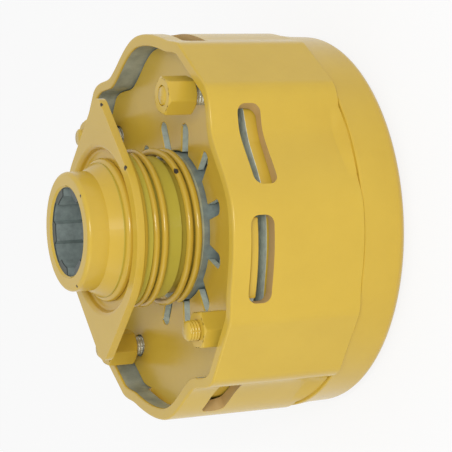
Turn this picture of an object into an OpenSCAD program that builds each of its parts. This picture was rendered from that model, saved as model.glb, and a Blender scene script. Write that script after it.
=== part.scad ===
// Friction coupling of a power take-off drive: a splined hub with a quick-lock collar runs
// through a lobed drum, where four friction linings grip it under a slotted disc spring.
// Millimetres. +Z runs along the axis out of the hub's nose, and the back face is at Z = 0.

/* [Drum] */
// Height of the drum's open rim above the back face
drum_top = 98; // [94:0.5:104]
// Thickness of the drum's wall
drum_wall = 6; // [4.5:0.5:6.5]
// Distance from the axis to the flats that carry the studs, at the rim
flat_dist = 98.7; // [97:0.1:101]
// Half angle of each flat
flat_half = 10; // [7.5:2.5:12.5]
// Radius at the bottom of the deep hollow beside each flat, at the rim
hollow_r = 90.8; // [90.5:0.1:93]
// Angle of the deep hollow from the middle of its flat
hollow_turn = -25; // [-27.5:2.5:-22.5]
// Radius where the shallow side leaves the flat, at the rim
shoulder_r = 97.4; // [96:0.1:98]
// Angle of that shallow shoulder
shoulder_turn = 20; // [17.5:2.5:22.5]
// Radius of the broad lobe between two flats, at the rim
lobe_r = 98.2; // [97:0.1:99]
// Angle of the broad lobe
lobe_turn = 40; // [37.5:2.5:42.5]
// Radius of the drum where it has drawn in to a circle, at the flange
drum_back_r = 94.4; // [94:0.1:95.5]

/* [Windows] */
// Length of each window round the drum
window_len = 42; // [36:1:44]
// Height of each window along the axis
window_h = 12.2; // [11:0.2:13]
// Corner radius of the windows
window_corner = 4.5; // [3:0.5:5]
// Lower edge of the windows that hold the disc spring
window_high_z = 76.5; // [75.5:0.1:77.5]
// Lower edge of the windows for the lower torque setting
window_low_z = 69; // [67:0.5:71]
// Angle of the spring's windows from the flat
window_high_turn = 28.9; // [27:0.1:30]
// Angle of the other windows from the flat
window_low_turn = -27.4; // [-29:0.1:-26]

/* [Rear flange] */
// Outer radius of the flange band at the step
flange_r = 96; // [95.6:0.1:98]
// Radius of the band where its back corner starts
flange_corner_r = 95.4; // [94.6:0.1:95.5]
// Radius of the rounded back corner
flange_round = 15.4; // [12:0.2:16]
// Height of the step under the drum
flange_step = 28; // [26:0.5:30]
// Height of the friction face above the step
spigot_h = 5; // [4:0.5:6]
// Clearance of the spigot in the drum
spigot_clear = 0.2; // [0.1:0.05:0.4]
// Radius of the register for a yoke's flange
register_r = 60; // [56:0.5:62]
// Depth of that register
register_d = 3.5; // [2.5:0.5:4]
// Radius of the pocket round the end of the hub
pocket_r = 50; // [46:0.5:53]
// Depth of the pocket from the back face
pocket_d = 12; // [11:0.5:14]
// Number of tapped holes for the yoke
yoke_holes = 8; // [4:1:8]
// Radius of the tapped holes
yoke_hole_r = 5.1; // [4.2:0.1:5.3]
// Pitch circle radius of the tapped holes
yoke_pitch_r = 70; // [68:0.5:73]
// Depth of the tapped holes
yoke_hole_d = 20; // [14:1:22]

/* [Friction pack] */
// Thickness of each friction lining
lining_t = 3.5; // [3:0.1:3.8]
// Distance of a lining's edge from its drive plate's edge
lining_inset = 0.5; // [0.3:0.1:2]
// Inner radius of the linings
lining_bore = 52; // [48:0.5:56]
// Thickness of each drive plate
drive_t = 6.5; // [6:0.1:7]
// Gap between the drive plates and the drum, at the flange
drive_gap = 3.9; // [3:0.1:6]
// Thickness of the middle plate
mid_t = 8; // [7.5:0.1:9]
// Thickness of the pressure plate
press_t = 9; // [8.5:0.1:10]
// Bore radius of the middle and pressure plates
plate_bore = 41.5; // [40.5:0.5:46]
// Gap between the lobed plates and the drum
plate_gap = 0.5; // [0.3:0.1:1]
// Radius of the ring on which the disc spring bears
ridge_r = 60; // [58:0.5:68]
// Width of that ring
ridge_w = 4; // [3:0.5:6]

/* [Disc spring] */
// Thickness of the disc spring
disc_t = 4; // [3.5:0.1:4.2]
// Height that its cone rises from the finger tips to its edge
disc_rise = 2.2; // [1:0.1:3]
// Height of the gap between the finger tips and the pressure plate
finger_gap = 1.2; // [0.8:0.1:2]
// Radius of the finger tips
finger_r = 38.7; // [38.5:0.1:40]
// Number of slots between the fingers
slot_count = 12; // [8:1:14]
// Width of each slot
slot_w = 7.5; // [5:0.5:8]
// Radius that the round ends of the slots reach
slot_reach = 54.5; // [50:0.5:56]
// Turn of the first slot
slot_turn = 9; // [0:1:29]
// Radius that the hooked lugs reach in the windows
lug_r = 93.8; // [93.4:0.1:94.5]
// Gap between a lug's ends and its window
lug_gap = 1; // [0.5:0.1:2]
// Height of the lugs along the axis
lug_h = 6; // [5:0.1:6.5]

/* [Relief studs and nuts] */
// Turn of the first stud from the X axis
stud_turn = 51.5; // [45:0.5:58]
// Distance of the studs from the drum's flats, at the pressure plate
stud_inset = 10.26; // [9:0.01:11]
// Radius of a stud
stud_r = 5; // [4:0.5:5.5]
// Length of the chamfered point on each stud
stud_point = 1; // [0.5:0.1:1.5]
// Height of the studs' ends above the back face
stud_top = 109.4; // [106:0.2:112]
// Radial clearance round a stud in the disc spring
stud_clear = 0.8; // [0.4:0.1:1]
// Width of a nut across its flats
nut_af = 17; // [16:0.5:18]
// Length of a nut
nut_h = 15; // [13:0.5:15.5]
// Length of thread that shows in front of each of the four nuts
nut_drops = [0.2, 3.9, 3.9, 5.9]; // [0:0.1:8]

/* [Hub] */
// Height of the hub's nose above the back face
hub_top = 143; // [141:0.5:150]
// Clearance between the register and the hub's inner end
end_clear = 0.5; // [0.3:0.1:1]
// Radius of the nose
nose_r = 30; // [28:0.5:31]
// Length of the plain nose
nose_h = 11; // [9:0.5:12]
// Length of the flare behind the nose
flare_h = 6.3; // [5:0.1:7]
// Radius of the barrel on which the collar slides
barrel_r = 34; // [33.5:0.1:34.5]
// Rounding of the nose's outer edge
nose_round = 2; // [1:0.5:3]
// Radius of the shoulder under the collar's spring
shoulder_hub_r = 37.9; // [37.6:0.1:38.1]
// Height of that shoulder above the back face
shoulder_hub_z = 84.7; // [84.5:0.1:86]
// Root radius of the outer splines
outer_root_r = 34.6; // [34.4:0.1:35.5]
// Number of outer splines
outer_splines = 10; // [8:1:12]
// Radius of the journal in the rear bush
journal_r = 33; // [31:0.5:33.5]
// Chamfer at the journal's inner end
journal_chamfer = 1; // [0.5:0.1:1.5]
// Running clearance of the journal, on the radius
run_clear = 0.05; // [0.02:0.01:0.09]
// Clearance between the drive plates and the outer splines
spline_clear = 0.1; // [0.05:0.05:0.2]

/* [Splined bore] */
// Number of bore splines
bore_splines = 6; // [4:2:8]
// Radius at the bottom of the bore's keyways
bore_major_r = 22.225; // [20:0.005:22.5]
// Radius of the bore over the lands
bore_minor_r = 18.9; // [17:0.1:19.5]
// Width of each keyway
keyway_w = 11.1; // [9:0.1:12]
// Width of the chamfer at each mouth of the bore
mouth_chamfer = 1.2; // [0.5:0.1:2]

/* [Quick lock] */
// Radial clearance of the lock sleeve on the barrel
sleeve_clear = 0.06; // [0.03:0.01:0.09]
// Height of the snap ring's middle above the back face
snap_z = 122.7; // [121:0.1:123]
// Radius of the snap ring's wire
snap_wire_r = 2.2; // [1.8:0.1:2.3]
// Gap between the ends of the snap ring
snap_gap = 6; // [3:1:10]
// Thickness of the lock plate
plate_t = 4; // [3:0.5:4]
// Radius of the lock plate's round middle
plate_r = 48.7; // [47:0.1:50]
// Radius that the two finger tips of the lock plate reach
wing_reach = 66; // [62:0.5:70]
// Radius of each rounded tip
wing_tip_r = 8; // [6:0.5:10]
// Turn of the lock plate's long axis
wing_turn = 85.5; // [0:0.5:180]
// Inner radius of the dish pressed into the lock plate
dish_r = 41; // [40:0.1:42]
// Depth of the dish
dish_d = 4.1; // [4.1:0.1:5]
// Bend radius of the pressed dish
bend_r = 2.6; // [1.5:0.1:3]
// Radius of the relief that frees the balls
relief_r = 35.5; // [35.3:0.1:35.6]
// Length of the relief from the front of the dish's floor
relief_h = 9.4; // [8.8:0.1:10]
// Outer radius of the lock sleeve
sleeve_r = 36.4; // [36.1:0.1:36.45]
// Length of the lock sleeve behind the dish
sleeve_h = 20.9; // [17:0.1:22]
// Outer radius of the sleeve's spring flange
seat_r = 40; // [39:0.1:41]
// Thickness of the sleeve's spring flange
seat_t = 4.1; // [3:0.1:4.2]
// Radius of a lock ball
ball_r = 6.6; // [6:0.1:6.7]
// Distance of the balls from the hub's nose
ball_depth = 36; // [35.5:0.1:37]
// Clearance round a ball
ball_clear = 0.3; // [0.25:0.05:0.4]

/* [Collar spring] */
// Radius of the collar spring's middle line
coil_r = 38.5; // [38.4:0.1:38.8]
// Diameter of its wire
wire_d = 3.5; // [3:0.1:3.6]
// Turns in the spring
coil_turns = 4; // [3:1:4]
// Share of the spring's rise in its open middle turn
open_share = 0.57; // [0.45:0.01:0.6]
// Thickness of the washer under the spring
spring_washer_t = 1.2; // [0.8:0.1:1.6]

/* [Rear bearing] */
// Outer radius of the bush
bush_r = 36.5; // [36:0.5:38]
// Outer radius of the two thrust washers
washer_r = 42; // [40:0.5:44]
// Thickness of the front thrust washer
front_washer_t = 2; // [1.5:0.1:2.5]
// Thickness of the rear thrust washer
rear_washer_t = 2.5; // [2:0.1:3]
// Thickness of the retaining ring
circlip_t = 2.4; // [2:0.1:2.6]
// Depth of the retaining ring's groove
circlip_groove = 1.6; // [1:0.1:2]
// Width of the retaining ring's band
circlip_band = 5; // [4:0.1:6]
// Radius of the two eyes for the ring's pliers
circlip_eye_r = 4; // [3:0.1:4.5]
// Height of the eyes above the groove's floor
circlip_eye_lift = 0.4; // [0.2:0.1:0.8]
// Radius of the hole in each eye
circlip_hole_r = 1.3; // [1:0.1:1.6]
// Angle of the gap between the ring's ends
circlip_gap = 30; // [24:1:40]
// Axial play of the hub
end_play = 0.1; // [0.05:0.05:0.2]

/* [Hidden] */
$fn = 96;

paint = "#d9b23c";
bare = "#7f8579";
steel = "#9a9d98";
lining_colour = "#4f4a42";
bronze = "#a9824a";

cut = 1;
quarters = 4;
quarter = 360 / quarters;
ring_step = 2.5;
flat_corner_r = flat_dist / cos(flat_half);

// Heights of the friction pack, from the flange's friction face upwards
friction_z = flange_step + spigot_h;
rear_drive_z = friction_z + lining_t;
lining_b_z = rear_drive_z + drive_t;
mid_z = lining_b_z + lining_t;
lining_c_z = mid_z + mid_t;
front_drive_z = lining_c_z + lining_t;
lining_d_z = front_drive_z + drive_t;
press_z = lining_d_z + lining_t;
press_top = press_z + press_t;
finger_z = press_top + finger_gap;
window_top = window_high_z + window_h;
// The ring under the disc spring reaches up to the cone above it
disc_slope = disc_rise / (lug_r - finger_r);
ridge_h = finger_gap + disc_slope * (ridge_r - ridge_w / 2 - finger_r);

// Heights along the hub, counted down from its nose
barrel_top = hub_top - nose_h - flare_h;
ball_z = hub_top - ball_depth;
hub_end = register_d + end_clear;
ball_count = bore_splines / 2;
washer_top = friction_z + front_washer_t;
journal_top = washer_top + end_play;
rear_washer_z = pocket_d - rear_washer_t;
circlip_z = rear_washer_z - circlip_t;
circlip_r = journal_r - circlip_groove;
spline_top = press_z;

// Radii of the friction pack, in from the drum's wall
drive_r = drum_back_r - drum_wall - drive_gap;
lining_r = drive_r - lining_inset;
stud_pitch_r = drum_r(0, press_z) - drum_wall - stud_inset;

// The dish's floor rests on the snap ring's flank, to a hundredth of a millimetre
floor_top = floor(100 * (snap_z - sqrt(pow(snap_wire_r, 2) - pow(relief_r - barrel_r, 2)))) / 100;
// The lock plate's straight sides run this far inside its arcs, so that they cross them
side_inset = 0.01;
plate_top = floor_top + dish_d;
floor_z = floor_top - plate_t;
sleeve_bore = barrel_r + sleeve_clear;
ball_r_pos = sleeve_bore - ball_clear - ball_r;
seat_z = floor_z - seat_t;
dish_rim_r = (dish_r + plate_t + plate_r) / 2;
spring_z = shoulder_hub_z + spring_washer_t;
wire_r = wire_d / 2;

// Smooth step from 0 to 1
function ease(t) = (1 - cos(180 * t)) / 2;
function between(a, b, t) = a + (b - a) * ease(t);
function fold(a) = a - quarter * floor((a - hollow_turn) / quarter);

// Radius of the drum's outside at its rim, at an angle from the middle of a flat
function rim_r(a) =
    a < -flat_half ? between(hollow_r, flat_corner_r, (a - hollow_turn) / (-flat_half - hollow_turn)) :
    a <= flat_half ? flat_dist / cos(a) :
    a < shoulder_turn ? between(flat_corner_r, shoulder_r, (a - flat_half) / (shoulder_turn - flat_half)) :
    a < lobe_turn ? between(shoulder_r, lobe_r, (a - shoulder_turn) / (lobe_turn - shoulder_turn)) :
    between(lobe_r, hollow_r, (a - lobe_turn) / (hollow_turn + quarter - lobe_turn));

// Radius of the drum's outside at a height, drawn in from the lobed rim to a circle at the flange
function drum_r(a, z) =
    drum_back_r + (rim_r(fold(a)) - drum_back_r) * (z - flange_step) / (drum_top - flange_step);

// Points round the drum's profile at one height, set in by a distance
function drum_points(z, inset, step = ring_step) = [
    for (a = [0 : step : 360 - step])
        let (r = drum_r(a, z) - inset)
        [r * cos(a + stud_turn), r * sin(a + stud_turn)]
];

// Points of a plate that fits in the drum over its whole thickness
function plate_points(z0, z1, step = 2 * ring_step) = [
    for (a = [0 : step : 360 - step])
        let (r = min(drum_r(a, z0), drum_r(a, z1)) - drum_wall - plate_gap)
        [r * cos(a + stud_turn), r * sin(a + stud_turn)]
];

module ring(outer, inner, h) {
    difference() {
        cylinder(r = outer, h = h);
        translate([0, 0, -cut]) cylinder(r = inner, h = h + 2 * cut);
    }
}

module round_about(count, first = 0) {
    for (i = [0 : count - 1]) rotate(first + i * 360 / count) children();
}

// Shell between two lobed outlines, tapering from the rim to the flange
module drum_shell() {
    rings = [[flange_step, 0], [drum_top, 0], [drum_top, drum_wall], [flange_step, drum_wall]];
    count = len(drum_points(0, 0));
    points = [for (k = rings) for (p = drum_points(k[0], k[1])) [p[0], p[1], k[0]]];
    faces = [
        for (k = [0 : len(rings) - 1])
            for (i = [0 : count - 1])
                let (k2 = (k + 1) % len(rings), i2 = (i + 1) % count)
                for (f = [[k * count + i, k2 * count + i, k2 * count + i2],
                          [k * count + i, k2 * count + i2, k * count + i2]])
                    f
    ];
    polyhedron(points = points, faces = faces);
}

// Round-cornered bar, from the axis outwards, that cuts one window through the wall, less a gap at its ends
module window(turn, z, gap = 0) {
    half_l = window_len / 2 - window_corner - gap;
    half_h = window_h / 2 - window_corner;
    rotate(stud_turn + turn)
        translate([0, 0, z + window_h / 2])
            rotate([90, 0, 90])
                linear_extrude(flat_corner_r + cut) {
                    for (x = [-1, 1]) for (y = [-1, 1])
                        translate([x * half_l, y * half_h]) circle(r = window_corner);
                    square([2 * half_l, window_h], center = true);
                    square([window_len - 2 * gap, 2 * half_h], center = true);
                }
}

module drum_housing() {
    color(paint) difference() {
        drum_shell();
        round_about(quarters) window(window_high_turn, window_high_z);
        round_about(quarters) window(window_low_turn, window_low_z);
    }
}

// Casting that closes the drum, with the last friction face in front and a yoke register behind
module rear_flange() {
    spigot_r = drum_back_r - drum_wall - spigot_clear;
    color(paint) difference() {
        rotate_extrude() {
            difference() {
                polygon([[0, 0], [flange_corner_r - flange_round, 0], [flange_corner_r, flange_round],
                         [flange_r, flange_step], [spigot_r, flange_step], [spigot_r, friction_z],
                         [0, friction_z]]);
                square([bush_r, friction_z + cut]);
            }
            intersection() {
                translate([flange_corner_r - flange_round, flange_round]) circle(r = flange_round);
                translate([flange_corner_r - flange_round, 0]) square(flange_round);
            }
        }
        translate([0, 0, -cut]) cylinder(r = register_r, h = register_d + cut);
        translate([0, 0, -cut]) cylinder(r = pocket_r, h = pocket_d + cut);
        round_about(yoke_holes, stud_turn)
            translate([yoke_pitch_r, 0, -cut]) cylinder(r = yoke_hole_r, h = yoke_hole_d + cut, $fn = 48);
    }
}

module hub_bush() {
    color(bronze) translate([0, 0, pocket_d])
        ring(bush_r, journal_r + run_clear, friction_z - pocket_d);
}

module front_thrust_washer() {
    color(bronze) translate([0, 0, friction_z])
        ring(washer_r, journal_r + run_clear, front_washer_t);
}

module rear_thrust_washer() {
    color(bronze) translate([0, 0, rear_washer_z])
        ring(washer_r, journal_r + run_clear, rear_washer_t);
}

module lining(z) {
    color(lining_colour) translate([0, 0, z]) ring(lining_r, lining_bore, lining_t);
}

module friction_lining_a() { lining(friction_z); }
module friction_lining_b() { lining(lining_b_z); }
module friction_lining_c() { lining(lining_c_z); }
module friction_lining_d() { lining(lining_d_z); }

// Outline of the hub's outer splines, grown by a clearance
module outer_spline(clear = 0) {
    tooth_w = PI * (shoulder_hub_r + outer_root_r) / (2 * outer_splines);
    circle(r = outer_root_r + clear);
    intersection() {
        circle(r = shoulder_hub_r + clear);
        round_about(outer_splines)
            translate([0, -tooth_w / 2 - clear])
                square([shoulder_hub_r + 2 * clear, tooth_w + 2 * clear]);
    }
}

module drive_plate(z) {
    color(steel) translate([0, 0, z]) difference() {
        cylinder(r = drive_r, h = drive_t);
        translate([0, 0, -cut]) linear_extrude(drive_t + 2 * cut) outer_spline(spline_clear);
    }
}

module rear_drive_plate() { drive_plate(rear_drive_z); }
module front_drive_plate() { drive_plate(front_drive_z); }

// Plate whose outline follows the drum, so that the drum carries it round
module lobed_plate(z, t) {
    translate([0, 0, z]) difference() {
        linear_extrude(t) polygon(plate_points(z, z + t));
        translate([0, 0, -cut]) cylinder(r = plate_bore, h = t + 2 * cut);
    }
}

module middle_plate() {
    color(bare) lobed_plate(mid_z, mid_t);
}

module pressure_plate() {
    color(bare) difference() {
        union() {
            lobed_plate(press_z, press_t);
            translate([0, 0, press_top - cut])
                ring(ridge_r + ridge_w / 2, ridge_r - ridge_w / 2, ridge_h + cut);
        }
        round_about(quarters, stud_turn)
            translate([stud_pitch_r, 0, press_z - cut]) cylinder(r = stud_r, h = press_t + 2 * cut, $fn = 48);
    }
}

// Coned disc with radial fingers, hooked into four windows by its lugs
module disc_spring() {
    edge_z = finger_z + disc_slope * (drum_back_r - finger_r);
    lug_root = stud_pitch_r;
    color(paint) difference() {
        union() {
            intersection() {
                rotate_extrude()
                    polygon([[finger_r, finger_z], [drum_back_r, edge_z], [drum_back_r, edge_z + disc_t],
                             [finger_r, finger_z + disc_t]]);
                translate([0, 0, finger_z - cut])
                    linear_extrude(disc_t + disc_rise + 2 * cut)
                        polygon(plate_points(finger_z, finger_z + disc_t + disc_rise));
            }
            intersection() {
                translate([0, 0, window_top - lug_h]) ring(lug_r, lug_root, lug_h);
                round_about(quarters) window(window_high_turn, window_high_z, lug_gap);
            }
        }
        round_about(slot_count, slot_turn) translate([0, 0, finger_z - cut])
            linear_extrude(disc_t + disc_rise + 2 * cut) {
                translate([0, -slot_w / 2]) square([slot_reach - slot_w / 2, slot_w]);
                translate([slot_reach - slot_w / 2, 0]) circle(r = slot_w / 2, $fn = 48);
            }
        round_about(quarters, stud_turn)
            translate([stud_pitch_r, 0, finger_z - cut])
                cylinder(r = stud_r + stud_clear, h = drum_top, $fn = 48);
    }
}

module relief_studs() {
    shank = stud_top - press_z - stud_point;
    color(steel) round_about(quarters, stud_turn) translate([stud_pitch_r, 0, press_z]) {
        cylinder(r = stud_r, h = shank, $fn = 48);
        translate([0, 0, shank]) cylinder(r1 = stud_r, r2 = stud_r - stud_point, h = stud_point, $fn = 48);
    }
}

// Long hexagon nut, bevelled at both ends
module long_nut() {
    corner_r = nut_af / 2 / cos(30);
    bevel = (corner_r - nut_af / 2) * tan(30);
    difference() {
        intersection() {
            cylinder(r = corner_r, h = nut_h, $fn = 6);
            rotate_extrude($fn = 48)
                polygon([[0, 0], [nut_af / 2, 0], [corner_r, bevel], [corner_r, nut_h - bevel],
                         [nut_af / 2, nut_h], [0, nut_h]]);
        }
        translate([0, 0, -cut]) cylinder(r = stud_r, h = nut_h + 2 * cut, $fn = 48);
    }
}

module relief_nuts() {
    color(paint) for (i = [0 : quarters - 1])
        rotate(stud_turn + i * quarter)
            translate([stud_pitch_r, 0, stud_top - nut_drops[i] - nut_h])
                long_nut();
}

// Outline of the bore: a round hole over the lands with straight keyways
module bore_outline() {
    circle(r = bore_minor_r);
    intersection() {
        circle(r = bore_major_r);
        round_about(bore_splines, 180 / bore_splines)
            translate([0, -keyway_w / 2]) square([bore_major_r, keyway_w]);
    }
}

// Profile of the hub's outside, from its inner end to its nose
module hub_profile() {
    difference() {
        union() {
            polygon([[0, hub_end], [journal_r - journal_chamfer, hub_end],
                     [journal_r, hub_end + journal_chamfer], [journal_r, journal_top],
                     [outer_root_r, journal_top], [outer_root_r, spline_top],
                     [shoulder_hub_r, spline_top], [shoulder_hub_r, shoulder_hub_z],
                     [barrel_r, shoulder_hub_z], [barrel_r, barrel_top], [nose_r, barrel_top + flare_h],
                     [nose_r, hub_top - nose_round], [nose_r - nose_round, hub_top], [0, hub_top]]);
            translate([nose_r - nose_round, hub_top - nose_round]) circle(r = nose_round, $fn = 48);
        }
        translate([barrel_r, snap_z]) circle(r = snap_wire_r, $fn = 48);
        translate([circlip_r, circlip_z]) square([journal_r, circlip_t]);
    }
}

// Stepped hole for a lock ball, with a lip that keeps the ball out of the empty bore
module ball_hole() {
    lip_r = ball_r_pos - sqrt(pow(ball_r, 2) - pow(ball_r - 2 * ball_clear, 2)) - ball_clear;
    translate([0, 0, ball_z]) rotate([0, 90, 0]) {
        translate([0, 0, lip_r]) cylinder(r = ball_r + ball_clear, h = barrel_r, $fn = 48);
        cylinder(r = ball_r - ball_clear, h = barrel_r, $fn = 48);
    }
}

module hub() {
    color(paint) difference() {
        union() {
            rotate_extrude() hub_profile();
            translate([0, 0, journal_top]) linear_extrude(spline_top - journal_top) outer_spline();
        }
        translate([0, 0, hub_end - cut]) linear_extrude(hub_top - hub_end + 2 * cut) bore_outline();
        translate([0, 0, hub_top - mouth_chamfer])
            cylinder(r1 = bore_major_r, r2 = bore_major_r + 2 * mouth_chamfer, h = 2 * mouth_chamfer);
        translate([0, 0, hub_end - mouth_chamfer])
            cylinder(r1 = bore_major_r + 2 * mouth_chamfer, r2 = bore_major_r, h = 2 * mouth_chamfer);
        round_about(ball_count, 180 / bore_splines) ball_hole();
    }
}

// Open ring with two eyed ends, in the groove at the hub's inner end
module retaining_ring() {
    half_gap = circlip_gap / 2;
    gap_end = pocket_r * [cos(half_gap), sin(half_gap)];
    eye_pitch_r = circlip_r + circlip_eye_r + circlip_eye_lift;
    color(steel) translate([0, 0, circlip_z]) linear_extrude(circlip_t) difference() {
        union() {
            difference() {
                circle(r = circlip_r + circlip_band);
                circle(r = circlip_r);
                polygon([[0, 0], gap_end, [gap_end[0], -gap_end[1]]]);
            }
            for (s = [-1, 1]) rotate(s * half_gap) translate([eye_pitch_r, 0])
                circle(r = circlip_eye_r, $fn = 48);
        }
        for (s = [-1, 1]) rotate(s * half_gap) translate([eye_pitch_r, 0])
            circle(r = circlip_hole_r, $fn = 24);
    }
}

module snap_ring() {
    gap = snap_gap / barrel_r * 180 / PI;
    color(paint) translate([0, 0, snap_z]) rotate(180 + gap / 2)
        rotate_extrude(angle = 360 - gap) translate([barrel_r, 0]) circle(r = snap_wire_r, $fn = 48);
}

module lock_balls() {
    color(steel) round_about(ball_count, 180 / bore_splines)
        translate([ball_r_pos, 0, ball_z]) sphere(r = ball_r, $fn = 48);
}

module spring_washer() {
    color(bare) translate([0, 0, shoulder_hub_z])
        ring(shoulder_hub_r, barrel_r + run_clear, spring_washer_t);
}

// Height of the wire's middle along the collar spring, from 0 at its lower end to 1 at its upper end:
// close end turns with most of the rise in the open middle turn
function coil_rise(t) =
    let (low = (1 - open_share) / 2, open = 1 / coil_turns, first = (1 - open) / 2)
    t < first ? low * ease(t / first) :
    t > first + open ? 1 - low * ease((1 - t) / first) :
    low + open_share * ease((t - first) / open);

module collar_spring() {
    sides = 10;
    per_turn = 30;
    count = coil_turns * per_turn;
    low = spring_z + wire_r;
    high = seat_z - wire_r;
    points = [
        for (i = [0 : count])
            let (t = i / count, a = 180 + 360 * coil_turns * t, z = low + (high - low) * coil_rise(t))
            for (k = [0 : sides - 1])
                let (w = 360 * k / sides, r = coil_r + wire_r * cos(w))
                [r * cos(a), r * sin(a), z + wire_r * sin(w)]
    ];
    walls = [
        for (i = [0 : count - 1]) for (k = [0 : sides - 1])
            let (p = i * sides + k, q = i * sides + (k + 1) % sides)
            for (f = [[p, p + sides, q + sides], [p, q + sides, q]])
                f
    ];
    caps = [[for (k = [0 : sides - 1]) k], [for (k = [sides - 1 : -1 : 0]) count * sides + k]];
    color(paint) polyhedron(points = points, faces = concat(walls, caps));
}

// Turned sleeve that holds the balls in, with the flange that takes the spring
module lock_sleeve() {
    cone_h = relief_r - sleeve_bore;
    cone_top = floor_top - relief_h;
    color(paint) rotate_extrude() difference() {
        union() {
            translate([0, floor_z - sleeve_h]) square([sleeve_r, sleeve_h]);
            translate([0, seat_z]) square([seat_r, seat_t]);
        }
        square([sleeve_bore, hub_top]);
        polygon([[0, cone_top - cone_h], [sleeve_bore, cone_top - cone_h], [relief_r, cone_top],
                 [relief_r, hub_top], [0, hub_top]]);
    }
}

// Flat outline of the lock plate: a round middle drawn out into two rounded tips
module wing_outline() {
    tip_d = wing_reach - wing_tip_r;
    lean = acos((plate_r - wing_tip_r) / tip_d);
    side = [cos(lean), sin(lean)];
    mirrored = [cos(lean), -sin(lean)];
    tip = [tip_d, 0];
    root_in = plate_r - side_inset;
    tip_in = wing_tip_r - side_inset;
    circle(r = plate_r);
    for (turn = [0, 180]) rotate(turn) {
        polygon([root_in * side, root_in * mirrored, tip + tip_in * mirrored, tip + tip_in * side]);
        translate(tip) circle(r = wing_tip_r, $fn = 48);
    }
}

// Section of the plate's dished middle: floor, wall and the start of its flat rim
module dish_section() {
    dish_outer = dish_r + plate_t;
    inner_bend_r = bend_r / 2;
    difference() {
        union() {
            translate([0, floor_z]) {
                square([dish_outer - bend_r, dish_d]);
                translate([0, bend_r]) square([dish_outer, dish_d - bend_r]);
                translate([dish_outer - bend_r, bend_r]) circle(r = bend_r, $fn = 48);
            }
            translate([0, plate_top - plate_t]) square([dish_rim_r, plate_t]);
        }
        square([relief_r, hub_top]);
        translate([0, floor_top]) {
            square([dish_r - inner_bend_r, dish_d + cut]);
            translate([0, inner_bend_r]) square([dish_r, dish_d]);
            translate([dish_r - inner_bend_r, inner_bend_r]) circle(r = inner_bend_r, $fn = 48);
        }
        difference() {
            translate([0, plate_top - bend_r]) square([dish_r + bend_r, bend_r + cut]);
            translate([dish_r + bend_r, plate_top - bend_r]) circle(r = bend_r, $fn = 48);
        }
    }
}

// Pressed plate with two finger tips and a dished middle that bears on the snap ring
module lock_plate() {
    color(paint) {
        rotate_extrude() dish_section();
        translate([0, 0, plate_top - plate_t]) rotate(wing_turn) linear_extrude(plate_t) difference() {
            wing_outline();
            circle(r = dish_rim_r);
        }
    }
}

drum_housing();
rear_flange();
hub_bush();
front_thrust_washer();
rear_thrust_washer();
friction_lining_a();
rear_drive_plate();
friction_lining_b();
middle_plate();
friction_lining_c();
front_drive_plate();
friction_lining_d();
pressure_plate();
disc_spring();
relief_studs();
relief_nuts();
hub();
retaining_ring();
snap_ring();
lock_balls();
spring_washer();
collar_spring();
lock_sleeve();
lock_plate();
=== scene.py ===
"""Looks of a friction coupling: mustard enamel, bare iron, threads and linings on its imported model.

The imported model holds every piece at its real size. This script gives each one its finish and sets
the studio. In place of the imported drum, flange, disc spring, nuts, studs and collar spring it shows
finer meshes, which follow the photograph more closely.
"""

import logging
import math
from collections.abc import Iterable, Sequence
from dataclasses import dataclass, field
from enum import Enum

import bmesh
import bpy
from mathutils import Matrix, Vector

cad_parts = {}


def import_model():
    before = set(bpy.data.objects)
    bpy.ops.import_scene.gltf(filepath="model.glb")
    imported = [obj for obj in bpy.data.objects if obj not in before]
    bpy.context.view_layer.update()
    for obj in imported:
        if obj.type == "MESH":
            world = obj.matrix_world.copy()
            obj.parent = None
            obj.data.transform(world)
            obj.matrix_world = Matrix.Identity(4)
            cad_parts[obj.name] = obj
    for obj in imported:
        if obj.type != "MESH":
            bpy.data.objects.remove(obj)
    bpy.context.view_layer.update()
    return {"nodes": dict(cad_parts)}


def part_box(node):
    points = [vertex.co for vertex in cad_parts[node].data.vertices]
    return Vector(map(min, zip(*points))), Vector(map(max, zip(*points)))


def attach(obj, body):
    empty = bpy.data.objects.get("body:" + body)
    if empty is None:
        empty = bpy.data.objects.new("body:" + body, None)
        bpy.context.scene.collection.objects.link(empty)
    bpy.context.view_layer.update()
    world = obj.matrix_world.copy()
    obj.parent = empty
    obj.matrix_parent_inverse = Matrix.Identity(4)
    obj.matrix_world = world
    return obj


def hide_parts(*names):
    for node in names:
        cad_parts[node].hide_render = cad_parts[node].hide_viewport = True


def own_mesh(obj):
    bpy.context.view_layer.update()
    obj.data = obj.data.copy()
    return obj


log = logging.getLogger("friction_coupling")

MM = 0.001
QUARTERS = (0.0, 90.0, 180.0, 270.0)

# Angle of the first stud, which is also the middle of a flat, in degrees.
FIRST_STUD = 51.5
# Radius of the studs' circle, in millimetres.
STUD_CIRCLE = 80.6
# Height at which the drum stands on the flange, in millimetres.
JOINT_Z = 28.0

# Edges sharper than this are shaded sharp: on castings and sheet, and on wire and threads.
CREASE = math.radians(35)
FINE_CREASE = math.radians(50)
# Packed points nearer than this are one point, and packed faces flatter than this are one face.
SAME_POINT = 0.002 * MM
SAME_FACE = math.radians(0.4)
# Points of a new piece nearer than this are one point, in metres.
TINY = 1e-6
# The drum's finishes, by their place in its list of materials.
COAT, INSIDE, CUT = range(3)

Triple = tuple[float, float, float]
Pairs = list[tuple[float, float]]
Shell = tuple[list[Vector], list[tuple[int, ...]]]
Material = bpy.types.Material
Node = bpy.types.Node
Piece = bpy.types.Object
Socket = bpy.types.NodeSocket
Value = float | Sequence[float] | Socket
Inputs = dict[int | str, Value]


class Slot(Enum):
    """The record's material slots."""

    ENAMEL = "yellow_enamel"
    CASTING = "bare_casting"
    GROUND = "ground_steel"
    ZINC = "zinc_thread"
    BRONZE = "bearing_bronze"
    LINING = "friction_lining"


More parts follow.
